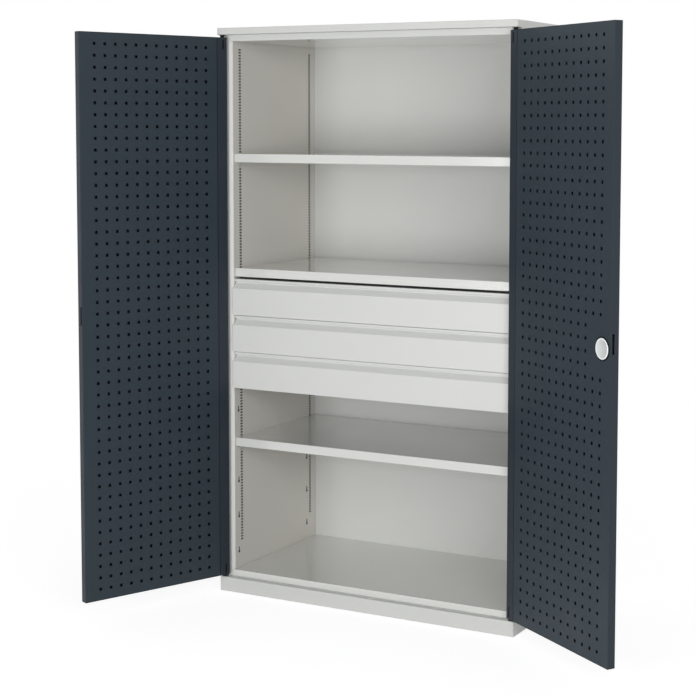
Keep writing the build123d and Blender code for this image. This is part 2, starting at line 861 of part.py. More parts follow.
def make_drawer_tray(level, name):
    """Open drawer tray between its runners."""
    bottom = level + tray_lift
    tray_width = 2 * (liner_face - runner_width)
    start = front + stop_depth + front_top_depth
    middle = start + tray_depth / 2
    with BuildPart() as tray:
        with BuildSketch(Plane.XY.offset(bottom)):
            with Locations((0, middle)):
                Rectangle(tray_width, tray_depth)
        extrude(amount=tray_height)
        with BuildSketch(Plane.XY.offset(bottom + tray_sheet)):
            with Locations((0, middle)):
                Rectangle(tray_width - 2 * tray_sheet, tray_depth - 2 * tray_sheet)
        extrude(amount=tray_height, mode=Mode.SUBTRACT)
    save(tray, name)


def make_runners(level, member, name):
    """One member of a drawer's left and right telescopic runners: 0 outer, 1 middle, 2 inner."""
    step = runner_sheet + runner_gap
    reach = runner_height / 2 - member * step
    open_edge = runner_width - runner_lip_gap
    web = (0, step, runner_width)[member]
    lip = (open_edge, open_edge, 2 * step + inner_lip_gap)[member]
    centre = level + runner_rise
    start = front + runner_setback
    with BuildPart() as runners:
        for sign in (-1, 1):
            section = [
                (sign * (liner_face - lip), centre - reach),
                (sign * (liner_face - web), centre - reach),
                (sign * (liner_face - web), centre + reach),
                (sign * (liner_face - lip), centre + reach),
            ]
            turn = Side.RIGHT if (sign < 0) == (member < 2) else Side.LEFT
            with BuildSketch(Plane.XZ.offset(-start)):
                make_face(folded(section, runner_sheet, turn))
            extrude(amount=-runner_length)
    save(runners, name)


# ---------------------------------------------------------------- the whole cabinet
os.makedirs("parts", exist_ok=True)

make_side_skin(-1, "left_side_skin")
make_side_skin(1, "right_side_skin")
make_liner(-1, "left_side_liner")
make_liner(1, "right_side_liner")
make_back_panel()
make_base_frame()
make_header_rail()
make_top_panel()
make_ceiling_panel()
make_floor_pan()
make_pivot_bushes()
for shelf_name, shelf_top in shelf_levels.items():
    make_shelf(shelf_top, f"{shelf_name}_shelf")
make_shelf_clips()

for door_sign, door_name in ((-1, "left_door"), (1, "right_door")):
    make_door_skin(door_sign, f"{door_name}_skin")
    make_door_panel(door_sign, f"{door_name}_panel")
    make_pivot_pins(door_sign, f"{door_name}_pivot_pins")
make_strike_plate()

make_handle_rosette()
make_turn_handle()
make_lock_plug()
make_spindle()
make_lock_cam()
make_lock_case()
make_latch_tongue()
make_spindle_nut()
make_lock_cover()
make_lock_rod(1, "upper_lock_rod")
make_lock_rod(-1, "lower_lock_rod")
make_rod_guides()

for number in range(drawer_count):
    base = drawer_bottom + number * drawer_pitch
    order = drawer_count - number
    make_drawer_front(base, f"drawer_{order}_front")
    make_drawer_tray(base, f"drawer_{order}_tray")
    make_runners(base, 0, f"drawer_{order}_outer_runners")
    make_runners(base, 1, f"drawer_{order}_middle_runners")
    make_runners(base, 2, f"drawer_{order}_inner_runners")

print(len(parts_made), "parts written")
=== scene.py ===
# %% [markdown]
# # A tool cabinet with two perforated doors
# This lesson dresses a steel workshop cabinet. Its folded sheets come from the drawing office as
# solids in one shared frame, in metres. The work here is what a finisher adds: the punched sheets,
# the rounded folds, the lock furniture and the paints. The frame is loaded first, because every
# new piece takes its place from it.

# %% Load the frame
import json
import math

import bpy
from mathutils import Matrix, Vector


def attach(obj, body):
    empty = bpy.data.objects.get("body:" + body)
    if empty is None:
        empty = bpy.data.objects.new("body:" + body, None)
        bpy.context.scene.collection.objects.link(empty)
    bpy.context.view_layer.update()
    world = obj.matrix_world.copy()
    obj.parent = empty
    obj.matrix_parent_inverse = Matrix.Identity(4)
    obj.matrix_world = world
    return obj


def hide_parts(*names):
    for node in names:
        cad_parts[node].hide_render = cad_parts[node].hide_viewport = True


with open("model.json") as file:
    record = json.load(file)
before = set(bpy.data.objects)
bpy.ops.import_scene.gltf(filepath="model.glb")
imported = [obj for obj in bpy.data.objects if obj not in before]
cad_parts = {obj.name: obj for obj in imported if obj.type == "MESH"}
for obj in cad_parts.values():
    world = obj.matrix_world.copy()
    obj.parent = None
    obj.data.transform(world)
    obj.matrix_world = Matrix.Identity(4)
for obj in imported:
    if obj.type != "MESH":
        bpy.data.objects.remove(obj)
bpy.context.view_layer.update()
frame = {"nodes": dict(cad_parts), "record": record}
record = frame["record"]

# %% [markdown]
# ## The camera
# A product shot of a tall cabinet is taken from eye height, well to the right, with a fairly long
# lens. The uprights stay parallel because the camera hardly tilts, and the frame is moved with the
# lens shift, as on a view camera. A turn about Z, a tilt about X and a trace of roll place it. The
# focal length and the point that the lens looks at are given in pixels of a square frame, and the
# shift and the lens in millimetres are worked out from them.

# %% Camera
FRAME_PIXELS = 696
SENSOR_WIDTH = 36.0
focal_pixels = 1602.1
centre_pixels = (428.0, 250.0)
camera_place = (2.5934, -4.8575, 1.6176)
camera_turn = 27.203
camera_dip = 4.399
camera_roll = 0.208

bpy.ops.object.select_all(action="DESELECT")
bpy.ops.object.camera_add(location=camera_place)
camera = bpy.context.object
camera.name = "shop_camera"
turn = Matrix.Rotation(math.radians(camera_turn), 3, "Z")
tilt = Matrix.Rotation(math.radians(90 - camera_dip), 3, "X")
roll = Matrix.Rotation(math.radians(camera_roll), 3, "Z")
camera.rotation_euler = (turn @ tilt @ roll).to_euler()
camera.data.sensor_width = SENSOR_WIDTH
camera.data.lens = SENSOR_WIDTH * focal_pixels / FRAME_PIXELS
camera.data.shift_x = (FRAME_PIXELS / 2 - centre_pixels[0]) / FRAME_PIXELS
camera.data.shift_y = (centre_pixels[1] - FRAME_PIXELS / 2) / FRAME_PIXELS
bpy.context.scene.camera = camera
bpy.context.scene.view_settings.view_transform = "Standard"
print("lens", round(camera.data.lens, 1), "mm, shift", round(camera.data.shift_x, 3))

# %% [markdown]
# ## The studio
# The cabinet stands on a pale floor in front of a white cove. A white ground is easy to get wrong:
# more light on the set would bleach the grey paint. The floor is therefore partly a lit surface,
# which takes the cabinet's soft shadow, and partly a plain white that only the camera and
# reflections see. Far from the cabinet the plain white takes over, so that no horizon shows.

# %% Floor
floor_size = 60
floor_drop = 0.0005

bpy.ops.object.select_all(action="DESELECT")
bpy.ops.mesh.primitive_plane_add(size=floor_size, location=(0, 0, -floor_drop))
floor = bpy.context.object
floor.name = "studio_floor"
print("floor", tuple(round(v, 1) for v in floor.dimensions))

# %% [markdown]
# A material is a small tree of nodes. Most of the trees here start from the same things: an empty
# tree with its output, a value that is squeezed into a range, and a switch that tells what is seen
# from what only gives light. Each could be clicked together again for every material. It is a
# function here, so that a material shows just its own few decisions.

# %% Node helpers
def new_material(name):
    """An empty node material and its tree, with an output."""
    material = bpy.data.materials.new(name)
    material.use_nodes = True
    tree = material.node_tree
    tree.nodes.clear()
    output = tree.nodes.new("ShaderNodeOutputMaterial")
    return material, tree, output


def ramp_between(tree, source, low, high, start, end):
    """Map Range node that turns low..high of a value into start..end, clamped."""
    node = tree.nodes.new("ShaderNodeMapRange")
    node.inputs["From Min"].default_value = low
    node.inputs["From Max"].default_value = high
    node.inputs["To Min"].default_value = start
    node.inputs["To Max"].default_value = end
    tree.links.new(source, node.inputs["Value"])
    return node.outputs["Result"]


def seen_directly(tree):
    """1 for camera, glossy and transmission rays, 0 for the rays that light other things."""
    path = tree.nodes.new("ShaderNodeLightPath")
    first = tree.nodes.new("ShaderNodeMath")
    first.operation = "MAXIMUM"
    tree.links.new(path.outputs["Is Camera Ray"], first.inputs[0])
    tree.links.new(path.outputs["Is Glossy Ray"], first.inputs[1])
    second = tree.nodes.new("ShaderNodeMath")
    second.operation = "MAXIMUM"
    tree.links.new(first.outputs[0], second.inputs[0])
    tree.links.new(path.outputs["Is Transmission Ray"], second.inputs[1])
    return second.outputs[0]


# %% [markdown]
# The floor's paint has three parts. A lit grey takes the shadow under the cabinet, a glow lifts it
# to nearly white, and with the distance from the cabinet a plain white takes over from both. Rays
# that only carry light to other things meet a mid grey instead, which is what a pale floor throws
# back onto steel. One diffuse white would be simpler, but it would be too bright under the lamps.

# %% Floor paint
floor_tone = (0.38, 0.38, 0.385, 1)
floor_glow = 0.8
bounce_tone = (0.62, 0.62, 0.62, 1)
fade_start = 1.6
fade_end = 3.4

floor_material, tree, output = new_material("studio_floor_paint")
lit = tree.nodes.new("ShaderNodeBsdfDiffuse")
lit.inputs["Color"].default_value = floor_tone
glow = tree.nodes.new("ShaderNodeEmission")
glow.inputs["Color"].default_value = (1, 1, 1, 1)
glow.inputs["Strength"].default_value = floor_glow
near = tree.nodes.new("ShaderNodeAddShader")
tree.links.new(lit.outputs[0], near.inputs[0])
tree.links.new(glow.outputs[0], near.inputs[1])
white = tree.nodes.new("ShaderNodeEmission")
place = tree.nodes.new("ShaderNodeTexCoord")
distance = tree.nodes.new("ShaderNodeVectorMath")
distance.operation = "LENGTH"
tree.links.new(place.outputs["Object"], distance.inputs[0])
fade = ramp_between(tree, distance.outputs["Value"], fade_start, fade_end, 0, 1)
shown = tree.nodes.new("ShaderNodeMixShader")
tree.links.new(fade, shown.inputs[0])
tree.links.new(near.outputs[0], shown.inputs[1])
tree.links.new(white.outputs[0], shown.inputs[2])
bounce = tree.nodes.new("ShaderNodeBsdfDiffuse")
bounce.inputs["Color"].default_value = bounce_tone
choice = tree.nodes.new("ShaderNodeMixShader")
tree.links.new(seen_directly(tree), choice.inputs[0])
tree.links.new(bounce.outputs[0], choice.inputs[1])
tree.links.new(shown.outputs[0], choice.inputs[2])
tree.links.new(choice.outputs[0], output.inputs["Surface"])
floor.data.materials.append(floor_material)
print("floor paint turns plain white from", fade_start, "to", fade_end, "m")

# %% [markdown]
# Two large soft boxes light the front. The low one stands before the cabinet at half its height, so
# that its light runs in under the shelves. The one on the right lights the left liner, which faces
# it across the open front. Two weak boxes behind keep the back readable when one walks round the
# cabinet. Around all of it is an even fill, as from the pale walls of a cove. The camera and the
# reflections see plain white there, by the same switch as on the floor.

# %% World and lamps
fill_strength = 0.38
box_size = 2.4

world = bpy.data.worlds.new("studio_air")
bpy.context.scene.world = world
world.use_nodes = True
tree = world.node_tree
tree.nodes.clear()
output = tree.nodes.new("ShaderNodeOutputWorld")
fill = tree.nodes.new("ShaderNodeBackground")
fill.inputs["Color"].default_value = (1, 1, 1, 1)
fill.inputs["Strength"].default_value = fill_strength
backdrop = tree.nodes.new("ShaderNodeBackground")
backdrop.inputs["Color"].default_value = (1, 1, 1, 1)
backdrop.inputs["Strength"].default_value = 1.0
mix = tree.nodes.new("ShaderNodeMixShader")
tree.links.new(seen_directly(tree), mix.inputs[0])
tree.links.new(fill.outputs[0], mix.inputs[1])
tree.links.new(backdrop.outputs[0], mix.inputs[2])
tree.links.new(mix.outputs[0], output.inputs["Surface"])


def soft_box(name, place, target, watts):
    """A square area lamp that looks at a point."""
    bpy.ops.object.select_all(action="DESELECT")
    bpy.ops.object.light_add(type="AREA", location=place)
    lamp = bpy.context.object
    lamp.name = name
    lamp.data.size = box_size
    lamp.data.energy = watts
    aim = Vector(target) - Vector(place)
    lamp.rotation_euler = aim.to_track_quat("-Z", "Y").to_euler()
    return lamp


lamps = (
    soft_box("low_box", place=(-0.5, -5.4, 0.9), target=(0, 0, 0.9), watts=123),
    soft_box("right_box", place=(3.8, -4.2, 1.8), target=(0, 0, 1.0), watts=109),
    soft_box("back_right_box", place=(3.6, 4.6, 2.4), target=(0, 0, 1.0), watts=40),
    soft_box("back_left_box", place=(-6.0, 2.4, 2.4), target=(0, 0, 1.0), watts=40),
)
print("lamps", [(lamp.name, lamp.data.energy) for lamp in lamps])

# %% [markdown]
# ## Paints and metals
# Powder coat is a thick satin paint. Close up it has the fine dimples of an orange peel about a
# millimetre wide, and its gloss varies a little over a panel. Noise on Object coordinates gives
# both: one fine pattern for the height of the dimples, and one slow pattern for colour and gloss.
# An image of paint would do it too, but it would have to be laid out over every sheet.

# %% Noise and tones
def noise(tree, place, scale, detail, rough=0.5):
    """A noise pattern with so many waves to the metre."""
    node = tree.nodes.new("ShaderNodeTexNoise")
    node.inputs["Scale"].default_value = scale
    node.inputs["Detail"].default_value = detail
    node.inputs["Roughness"].default_value = rough
    tree.links.new(place, node.inputs["Vector"])
    return node.outputs["Fac"]


def two_tones(tree, factor, dark, light):
    """A colour that moves between two close tones with a factor."""
    node = tree.nodes.new("ShaderNodeMix")
    node.data_type = "RGBA"
    tree.links.new(factor, node.inputs["Factor"])
    node.inputs["A"].default_value = (*dark, 1)
    node.inputs["B"].default_value = (*light, 1)
    return node.outputs["Result"]


def darker_and_lighter(colour, change):
    """The two ends of a colour that wanders by a share of itself."""
    return [c * (1 - change) for c in colour], [min(1, c * (1 + change)) for c in colour]


def linear(red, green, blue):
    """A colour picked on screen, 0 to 255, as the linear values that a shader takes."""
    values = [v / 255 for v in (red, green, blue)]
    return [v / 12.92 if v <= 0.04045 else ((v + 0.055) / 1.055) ** 2.4 for v in values]


# %% [markdown]
# One function mixes every paint of the cabinet. It takes the colour and how far it wanders, the
# range of the roughness, the height and the width of the dimples, and the shine. Slow clouds about
# half a metre wide and fine specks of the powder are added up for the colour. The shelves, the
# floor pan and the ceiling panel are smoother than the rest and mirror a little of what stands
# over them, so they have a clear lacquer on top.

# %% Powder coat
LACQUER_ROUGHNESS = 0.07
LACQUER_IOR = 1.6
cloud_waves = 2.3
gloss_waves = 7.0
speck_stretch = 0.6
speck_share = 0.45
dimple_rough = 0.45


def powder_coat(name, colour, change, gloss, peel, grain, shine=0.5, lacquer=0):
    """A paint: colour give or take change, roughness range, dimple height and width, shine."""
    material, tree, output = new_material(name)
    coat = tree.nodes.new("ShaderNodeBsdfPrincipled")
    coat.inputs["Specular IOR Level"].default_value = shine
    coat.inputs["Coat Weight"].default_value = lacquer
    coat.inputs["Coat Roughness"].default_value = LACQUER_ROUGHNESS
    coat.inputs["Coat IOR"].default_value = LACQUER_IOR
    place = tree.nodes.new("ShaderNodeTexCoord").outputs["Object"]
    slow = ramp_between(tree, noise(tree, place, cloud_waves, 3), 0.3, 0.7, 0, 1)
    specks = noise(tree, place, 1 / grain * speck_stretch, 1)
    speck = ramp_between(tree, specks, 0.25, 0.75, 0, 1)
    blend = tree.nodes.new("ShaderNodeMath")
    blend.operation = "MULTIPLY_ADD"
    tree.links.new(speck, blend.inputs[0])
    blend.inputs[1].default_value = speck_share
    tree.links.new(slow, blend.inputs[2])
    share = ramp_between(tree, blend.outputs[0], 0, 1 + speck_share, 0, 1)
    dark, light = darker_and_lighter(colour, change)
    tree.links.new(two_tones(tree, share, dark, light), coat.inputs["Base Color"])
    rough = ramp_between(tree, noise(tree, place, gloss_waves, 4), 0.3, 0.7, gloss[0], gloss[1])
    tree.links.new(rough, coat.inputs["Roughness"])
    bump = tree.nodes.new("ShaderNodeBump")
    bump.inputs["Strength"].default_value = 0.6
    bump.inputs["Distance"].default_value = peel
    tree.links.new(noise(tree, place, 1 / grain, 2, dimple_rough), bump.inputs["Height"])
    tree.links.new(bump.outputs[0], coat.inputs["Normal"])
    tree.links.new(coat.outputs[0], output.inputs["Surface"])
    return material


# %% [markdown]
# The cabinet has two colours, a light grey and an anthracite. The drawers, the shelves, the liners
# and the skins of the doors have paints of their own, each a shade off these two. The last paint
# here is painted shade: a dark grey for the faces hidden behind other sheets and for the cut edges
# of small holes. It stands in for the shade inside the slots of the liners, which show as dark
# dots.

# %% The paints
light_grey = powder_coat(
    "light_grey_coat", linear(206, 207, 204),
    change=0.015, gloss=(0.42, 0.52), peel=0.00006, grain=0.0016,
)
drawer_grey = powder_coat(
    "drawer_grey_coat", linear(209, 210, 208),
    change=0.012, gloss=(0.40, 0.50), peel=0.00005, grain=0.0015,
)
shelf_grey = powder_coat(
    "shelf_grey_coat", linear(211, 212, 208),
    change=0.01, gloss=(0.13, 0.2), peel=0.000008, grain=0.0018, shine=0.7, lacquer=1,
)
anthracite = powder_coat(
    "anthracite_coat", linear(41, 52, 60),
    change=0.05, gloss=(0.44, 0.56), peel=0.00007, grain=0.0014, shine=0.3,
)
skin_anthracite = powder_coat(
    "skin_anthracite_coat", linear(37, 45, 54),
    change=0.05, gloss=(0.42, 0.54), peel=0.00007, grain=0.0014, shine=0.3,
)
liner_grey = powder_coat(
    "liner_grey_coat", linear(212, 209, 203),
    change=0.012, gloss=(0.42, 0.52), peel=0.00006, grain=0.0016,
)
# painted shade: the dark grey of the slots and of the faces hidden behind the liners
slot_shade = powder_coat(
    "painted_slot_shade", linear(46, 46, 47),
    change=0.15, gloss=(0.6, 0.75), peel=0.00002, grain=0.001, shine=0.3,
)
print("materials so far", len(bpy.data.materials))

# %% [markdown]
# The runners, the lock rods, the latch and the shelf clips are zinc plated. Zinc is a soft bluish
# metal with blotches a few millimetres wide and fine rolling lines along the strip. A stretched
# noise makes the lines: it has many waves across the strip and only a few along it.

# %% Zinc plate
rolling_waves = (1400, 30, 1400)


def zinc_plate(name):
    """Plated steel: blotches in the colour, fine lines in the gloss and height."""
    material, tree, output = new_material(name)
    metal = tree.nodes.new("ShaderNodeBsdfPrincipled")
    metal.inputs["Metallic"].default_value = 1.0
    place = tree.nodes.new("ShaderNodeTexCoord").outputs["Object"]
    blotch = ramp_between(tree, noise(tree, place, 160, 3), 0.35, 0.65, 0, 1)
    colour = two_tones(tree, blotch, (0.47, 0.49, 0.51), (0.62, 0.63, 0.64))
    tree.links.new(colour, metal.inputs["Base Color"])
    squeeze = tree.nodes.new("ShaderNodeMapping")
    squeeze.inputs["Scale"].default_value = rolling_waves
    tree.links.new(place, squeeze.inputs["Vector"])
    lines = noise(tree, squeeze.outputs[0], 1, 2)
    tree.links.new(ramp_between(tree, lines, 0.3, 0.7, 0.28, 0.42), metal.inputs["Roughness"])
    bump = tree.nodes.new("ShaderNodeBump")
    bump.inputs["Strength"].default_value = 0.3
    bump.inputs["Distance"].default_value = 0.00003
    tree.links.new(lines, bump.inputs["Height"])
    tree.links.new(bump.outputs[0], metal.inputs["Normal"])
    tree.links.new(metal.outputs[0], output.inputs["Surface"])
    return material


zinc = zinc_plate("zinc_plated_steel")
print(zinc.name, len(zinc.node_tree.nodes), "nodes")

# %% [markdown]
# The handle, its rosette, the lock cover, the pivot bushes and the guides of the rods are moulded.
# A mould is spark eroded, which leaves a grain finer than that of powder coat. With a low shine
# the same tree also makes two near-black paints of painted shade: a ring for the shadow in the gap
# round the lock cover, and one for the pivot pins, so that the hinge slots show dark.

# %% Plastics and painted shade
def moulded_plastic(name, colour, change, gloss, grain, height, shine=0.5):
    """Moulded plastic with a fine spark-eroded grain, or a dull dark skin with a low shine."""
    material, tree, output = new_material(name)
    plastic = tree.nodes.new("ShaderNodeBsdfPrincipled")
    plastic.inputs["Specular IOR Level"].default_value = shine
    place = tree.nodes.new("ShaderNodeTexCoord").outputs["Object"]
    cloud = ramp_between(tree, noise(tree, place, 60, 3), 0.3, 0.7, 0, 1)
    dark, light = darker_and_lighter(colour, change)
    tree.links.new(two_tones(tree, cloud, dark, light), plastic.inputs["Base Color"])
    rough = ramp_between(tree, cloud, 0, 1, gloss[0], gloss[1])
    tree.links.new(rough, plastic.inputs["Roughness"])
    bump = tree.nodes.new("ShaderNodeBump")
    bump.inputs["Strength"].default_value = 0.5
    bump.inputs["Distance"].default_value = height
    tree.links.new(noise(tree, place, 1 / grain, 2), bump.inputs["Height"])
    tree.links.new(bump.outputs[0], plastic.inputs["Normal"])
    tree.links.new(plastic.outputs[0], output.inputs["Surface"])
    return material


black = moulded_plastic(
    "black_moulding", (0.022, 0.022, 0.024),
    change=0.2, gloss=(0.38, 0.5), grain=0.0008, height=0.00005,
)
# painted shade: near-black pivot pins, so the hinge slots in front of them show dark
pin_shade = moulded_plastic(
    "painted_pin_shade", (0.004, 0.004, 0.005),
    change=0.25, gloss=(0.5, 0.65), grain=0.0006, height=0.00004, shine=0.1,
)
# painted shade: near-black ring for the shadow in the gap round the lock cover
gap_shade = moulded_plastic(
    "painted_gap_shade", (0.004, 0.004, 0.005),
    change=0.2, gloss=(0.6, 0.75), grain=0.0005, height=0.00003, shine=0.1,
)
rim_white = moulded_plastic(
    "rim_moulding", linear(242, 244, 244),
    change=0.01, gloss=(0.3, 0.4), grain=0.0008, height=0.00002,
)
cover_white = moulded_plastic(
    "cover_moulding", linear(211, 216, 216),
    change=0.01, gloss=(0.3, 0.4), grain=0.0008, height=0.00002,
)
print("mouldings", black.name, rim_white.name, cover_white.name)

# %% [markdown]
# The plug of the lock is chromed and polished. Keys leave hair scratches on it, too fine to model,
# so a fine haze only changes how sharply each spot mirrors.

# %% Lock plug
def bright_plug(name):
    """Polished plug metal with the hair scratches that keys leave."""
    material, tree, output = new_material(name)
    metal = tree.nodes.new("ShaderNodeBsdfPrincipled")
    metal.inputs["Metallic"].default_value = 1.0
    place = tree.nodes.new("ShaderNodeTexCoord").outputs["Object"]
    haze = ramp_between(tree, noise(tree, place, 500, 4), 0.35, 0.65, 0, 1)
    colour = two_tones(tree, haze, (0.46, 0.47, 0.48), (0.58, 0.59, 0.60))
    tree.links.new(colour, metal.inputs["Base Color"])
    tree.links.new(ramp_between(tree, haze, 0, 1, 0.10, 0.22), metal.inputs["Roughness"])
    tree.links.new(metal.outputs[0], output.inputs["Surface"])
    return material


plug_metal = bright_plug("plug_chrome_plate")
print("materials", len(bpy.data.materials))

# %% [markdown]
# Each piece of the cabinet has a finish slot in its record, so the finishes are handed out by slot
# and no piece is forgotten. A piece that comes from the frame keeps its shape and only changes its
# material. The pivot pins are of steel like the rods, but get a near-black of painted shade by
# name, so that the hinge slots in front of them show dark.

# %% Hand out the finishes
finishes = {
    "carcass_grey": light_grey,
    "drawer_grey": drawer_grey,
    "door_anthracite": anthracite,
    "zinc_steel": zinc,
    "black_plastic": black,
    "cover_plastic": cover_white,
    "plug_chrome": plug_metal,
}
slot_of = {row["node"]: row["material_slot"] for row in record["subparts"]}


def paint(piece, finish):
    """Give a piece one material."""
    piece.data.materials.clear()
    piece.data.materials.append(finish)


for node, thing in frame["nodes"].items():
    paint(thing, finishes[slot_of[node]])
# painted shade: the pins are near-black so that the hinge slots show dark
for node in ("left_door_pivot_pins", "right_door_pivot_pins"):
    paint(frame["nodes"][node], pin_shade)
print("painted", len(frame["nodes"]), "frame pieces")

# %% [markdown]
# ## Tools of the bench
# By hand, one clicks the edges and faces that the next tool shall work on. A script picks them by
# their place instead: it tests every corner point, and takes an edge or a face when all of its
# points pass. The test says where, such as "on the left rim", so it still holds when a size
# changes, which a list of numbered faces would not.

# %% Picking
MM = 0.001
NEAR = 0.00002


def work_on(piece):
    """Make one piece the only selected, active object."""
    if bpy.context.object and bpy.context.object.mode != "OBJECT":
        bpy.ops.object.mode_set(mode="OBJECT")
    bpy.ops.object.select_all(action="DESELECT")
    piece.select_set(True)
    bpy.context.view_layer.objects.active = piece


def pick(piece, kind, test):
    """In edit mode, select the points, edges or faces whose corner points all pass a test."""
    work_on(piece)
    bpy.ops.object.mode_set(mode="EDIT")
    bpy.ops.mesh.select_mode(type=kind)
    bpy.ops.mesh.select_all(action="DESELECT")
    bpy.ops.object.mode_set(mode="OBJECT")
    points = [test(v.co) for v in piece.data.vertices]
    if kind == "VERT":
        for point, chosen in zip(piece.data.vertices, points):
            point.select = chosen
        bpy.ops.object.mode_set(mode="EDIT")
        return sum(points)
    items = piece.data.edges if kind == "EDGE" else piece.data.polygons
    count = 0
    for item in items:
        if all(points[v] for v in item.vertices):
            item.select = True
            count += 1
    bpy.ops.object.mode_set(mode="EDIT")
    return count


# %% [markdown]
# A punched sheet repeats one small cell hundreds of times. A cell is a rectangle with a hole, so it
# starts as a plane, the plane is inset and its middle deleted. Two arrays repeat it and merge the
# seams, and the rims are then drawn out to the size of the sheet. The alternative is to cut the
# holes one by one with a Boolean, which is slow and leaves long thin faces that shade badly.

# %% Cells, rims and walls
def rim_only():
    """Keep only the open rim edges of what is selected."""
    mesh = bpy.context.object.data
    bpy.ops.object.mode_set(mode="OBJECT")
    uses = {}
    for face in mesh.polygons:
        for key in face.edge_keys:
            uses[key] = uses.get(key, 0) + 1
    keep = [edge.select and uses.get(edge.key, 0) == 1 for edge in mesh.edges]
    bpy.ops.object.mode_set(mode="EDIT")
    bpy.ops.mesh.select_all(action="DESELECT")
    bpy.ops.object.mode_set(mode="OBJECT")
    for edge, chosen in zip(mesh.edges, keep):
        edge.select = chosen
    bpy.ops.object.mode_set(mode="EDIT")


def draw_out(piece, test, move):
    """Extrude the open rim edges that pass a test."""
    pick(piece, "EDGE", test)
    rim_only()
    bpy.ops.mesh.extrude_edges_move(TRANSFORM_OT_translate={"value": move})
    bpy.ops.object.mode_set(mode="OBJECT")


def finish_modifier(piece, modifier):
    """Apply a modifier of a piece."""
    work_on(piece)
    bpy.ops.object.modifier_apply(modifier=modifier.name)


def repeat(piece, count, step):
    """Repeat a piece in a row and merge the seams."""
    row = piece.modifiers.new("row", "ARRAY")
    row.count = count
    row.use_relative_offset = False
    row.use_constant_offset = True
    row.constant_offset_displace = step
    row.use_merge_vertices = True
    row.merge_threshold = NEAR
    finish_modifier(piece, row)


def punched_cell(name, place, turned, size, hole_share):
    """A flat cell with a hole in its middle, hole_share of its size."""
    bpy.ops.object.select_all(action="DESELECT")
    bpy.ops.mesh.primitive_plane_add(size=1, location=place, rotation=turned)
    cell = bpy.context.object
    cell.name = name
    bpy.ops.object.mode_set(mode="EDIT")
    bpy.ops.mesh.inset(thickness=(1 - hole_share) / 2, depth=0)
    bpy.ops.mesh.delete(type="FACE")
    bpy.ops.object.mode_set(mode="OBJECT")
    cell.scale = (size[0], size[1], 1)
    bpy.ops.object.transform_apply(location=True, rotation=True, scale=True)
    return cell


def thicken(piece, thickness):
    """Give a sheet its gauge, inwards from the modelled face."""
    wall = piece.modifiers.new("gauge", "SOLIDIFY")
    wall.thickness = thickness
    wall.offset = -1
    wall.use_even_offset = True
    finish_modifier(piece, wall)


def paint_shade_on(piece, test):
    """Give the faces whose corner points pass a test a dark grey of painted shade."""
    piece.data.materials.append(slot_shade)
    for face in piece.data.polygons:
        if test([piece.data.vertices[v].co for v in face.vertices]):
            face.material_index = 1


# %% [markdown]
# ## The perforated door panels
# The inner panel of each door is a shallow tray with 10 mm square holes on a 38 mm grid, twelve
# across and forty-eight up. Tool hooks hang in them. It is modelled on the shut door, where all of
# its edges are square to the axes, and is then swung open about the hinge pin. Sizes along the
# door are counted from its hinge edge, so one set of them serves both hands.

# %% Door sizes
half_width = 560 * MM
front = -300 * MM
door_width = 558 * MM
door_depth = 26 * MM
door_gap = 1 * MM
door_bottom = 57 * MM
door_top = 1918 * MM
panel_start = 39.8 * MM
panel_fold = 12 * MM
gauge = 1 * MM
hole_pitch = 38 * MM
hole_size = 10 * MM
hole_columns = 12
hole_rows = 48
first_column = 84.5 * MM
first_row = 94.5 * MM
pivot = (548 * MM, -287 * MM)
swing = {-1: -113, 1: 146}
lock_s = 512 * MM
lock_z = 985 * MM


def door_x(side, s):
    """X on the shut door, from the distance s to its hinge edge."""
    return side * (half_width - door_gap - s)


def swing_open(piece, side):
    """Turn a piece of a shut door about its hinge pin to its place at rest."""
    work_on(piece)
    pin = Vector((side * pivot[0], pivot[1], 0))
    turn = Matrix.Rotation(math.radians(swing[side]), 4, "Z")
    piece.matrix_world = Matrix.Translation(pin) @ turn @ Matrix.Translation(-pin)
    bpy.ops.object.transform_apply(location=True, rotation=True, scale=True)


print("door", round(door_width, 3), "x", round(door_top - door_bottom, 3), "m")

# %% [markdown]
# The panel is built in the order of the workshop. The sheet is punched first, as one cell that is
# repeated across and up. The plain borders are then drawn out of the rims of the grid, each to its
# own width, because the holes don't lie in the middle of the door.

# %% Punch the sheet
def punched_door_sheet(side, name):
    """The grid of holes, drawn out to the edges of the panel."""
    start = (door_x(side, first_column), front + door_depth, first_row)
    cell = (hole_pitch, hole_pitch)
    sheet = punched_cell(name, start, (-math.pi / 2, 0, 0), cell, hole_size / hole_pitch)
    repeat(sheet, hole_columns, (-side * hole_pitch, 0, 0))
    repeat(sheet, hole_rows, (0, 0, hole_pitch))
    grid_start = first_column - hole_pitch / 2
    grid_end = grid_start + hole_columns * hole_pitch
    rims = ((grid_start, panel_start), (grid_end, door_width - gauge))
    for old, new in rims:
        x = door_x(side, old)
        draw_out(sheet, lambda p: abs(p.x - x) < NEAR, (door_x(side, new) - x, 0, 0))
    low = first_row - hole_pitch / 2
    high = low + hole_rows * hole_pitch
    for old, new in ((low, door_bottom + gauge), (high, door_top - gauge)):
        draw_out(sheet, lambda p: abs(p.z - old) < NEAR, (0, 0, new - old))
    return sheet


# %% [markdown]
# Next the rim is folded towards the skin of the door and the fold is rounded. The fold of the free
# edge has a slot for the latch. Four planes cut along the sides of the slot and the face between
# them is deleted, so the sheet stays a single skin that can still get its gauge.

# %% Fold the rim
fold_radius = 1.8 * MM
latch_levels = (973 * MM, 1032 * MM)
latch_depths = (15.8 * MM, 23.8 * MM)
latch_reach = 80 * MM


def on_rim(side, point):
    """True on the outer rim of a door panel."""
    at_hinge = abs(point.x - door_x(side, panel_start))
    at_free_edge = abs(point.x - door_x(side, door_width - gauge))
    at_foot = abs(point.z - door_bottom - gauge)
    at_head = abs(point.z - door_top + gauge)
    return min(at_hinge, at_free_edge, at_foot, at_head) < NEAR


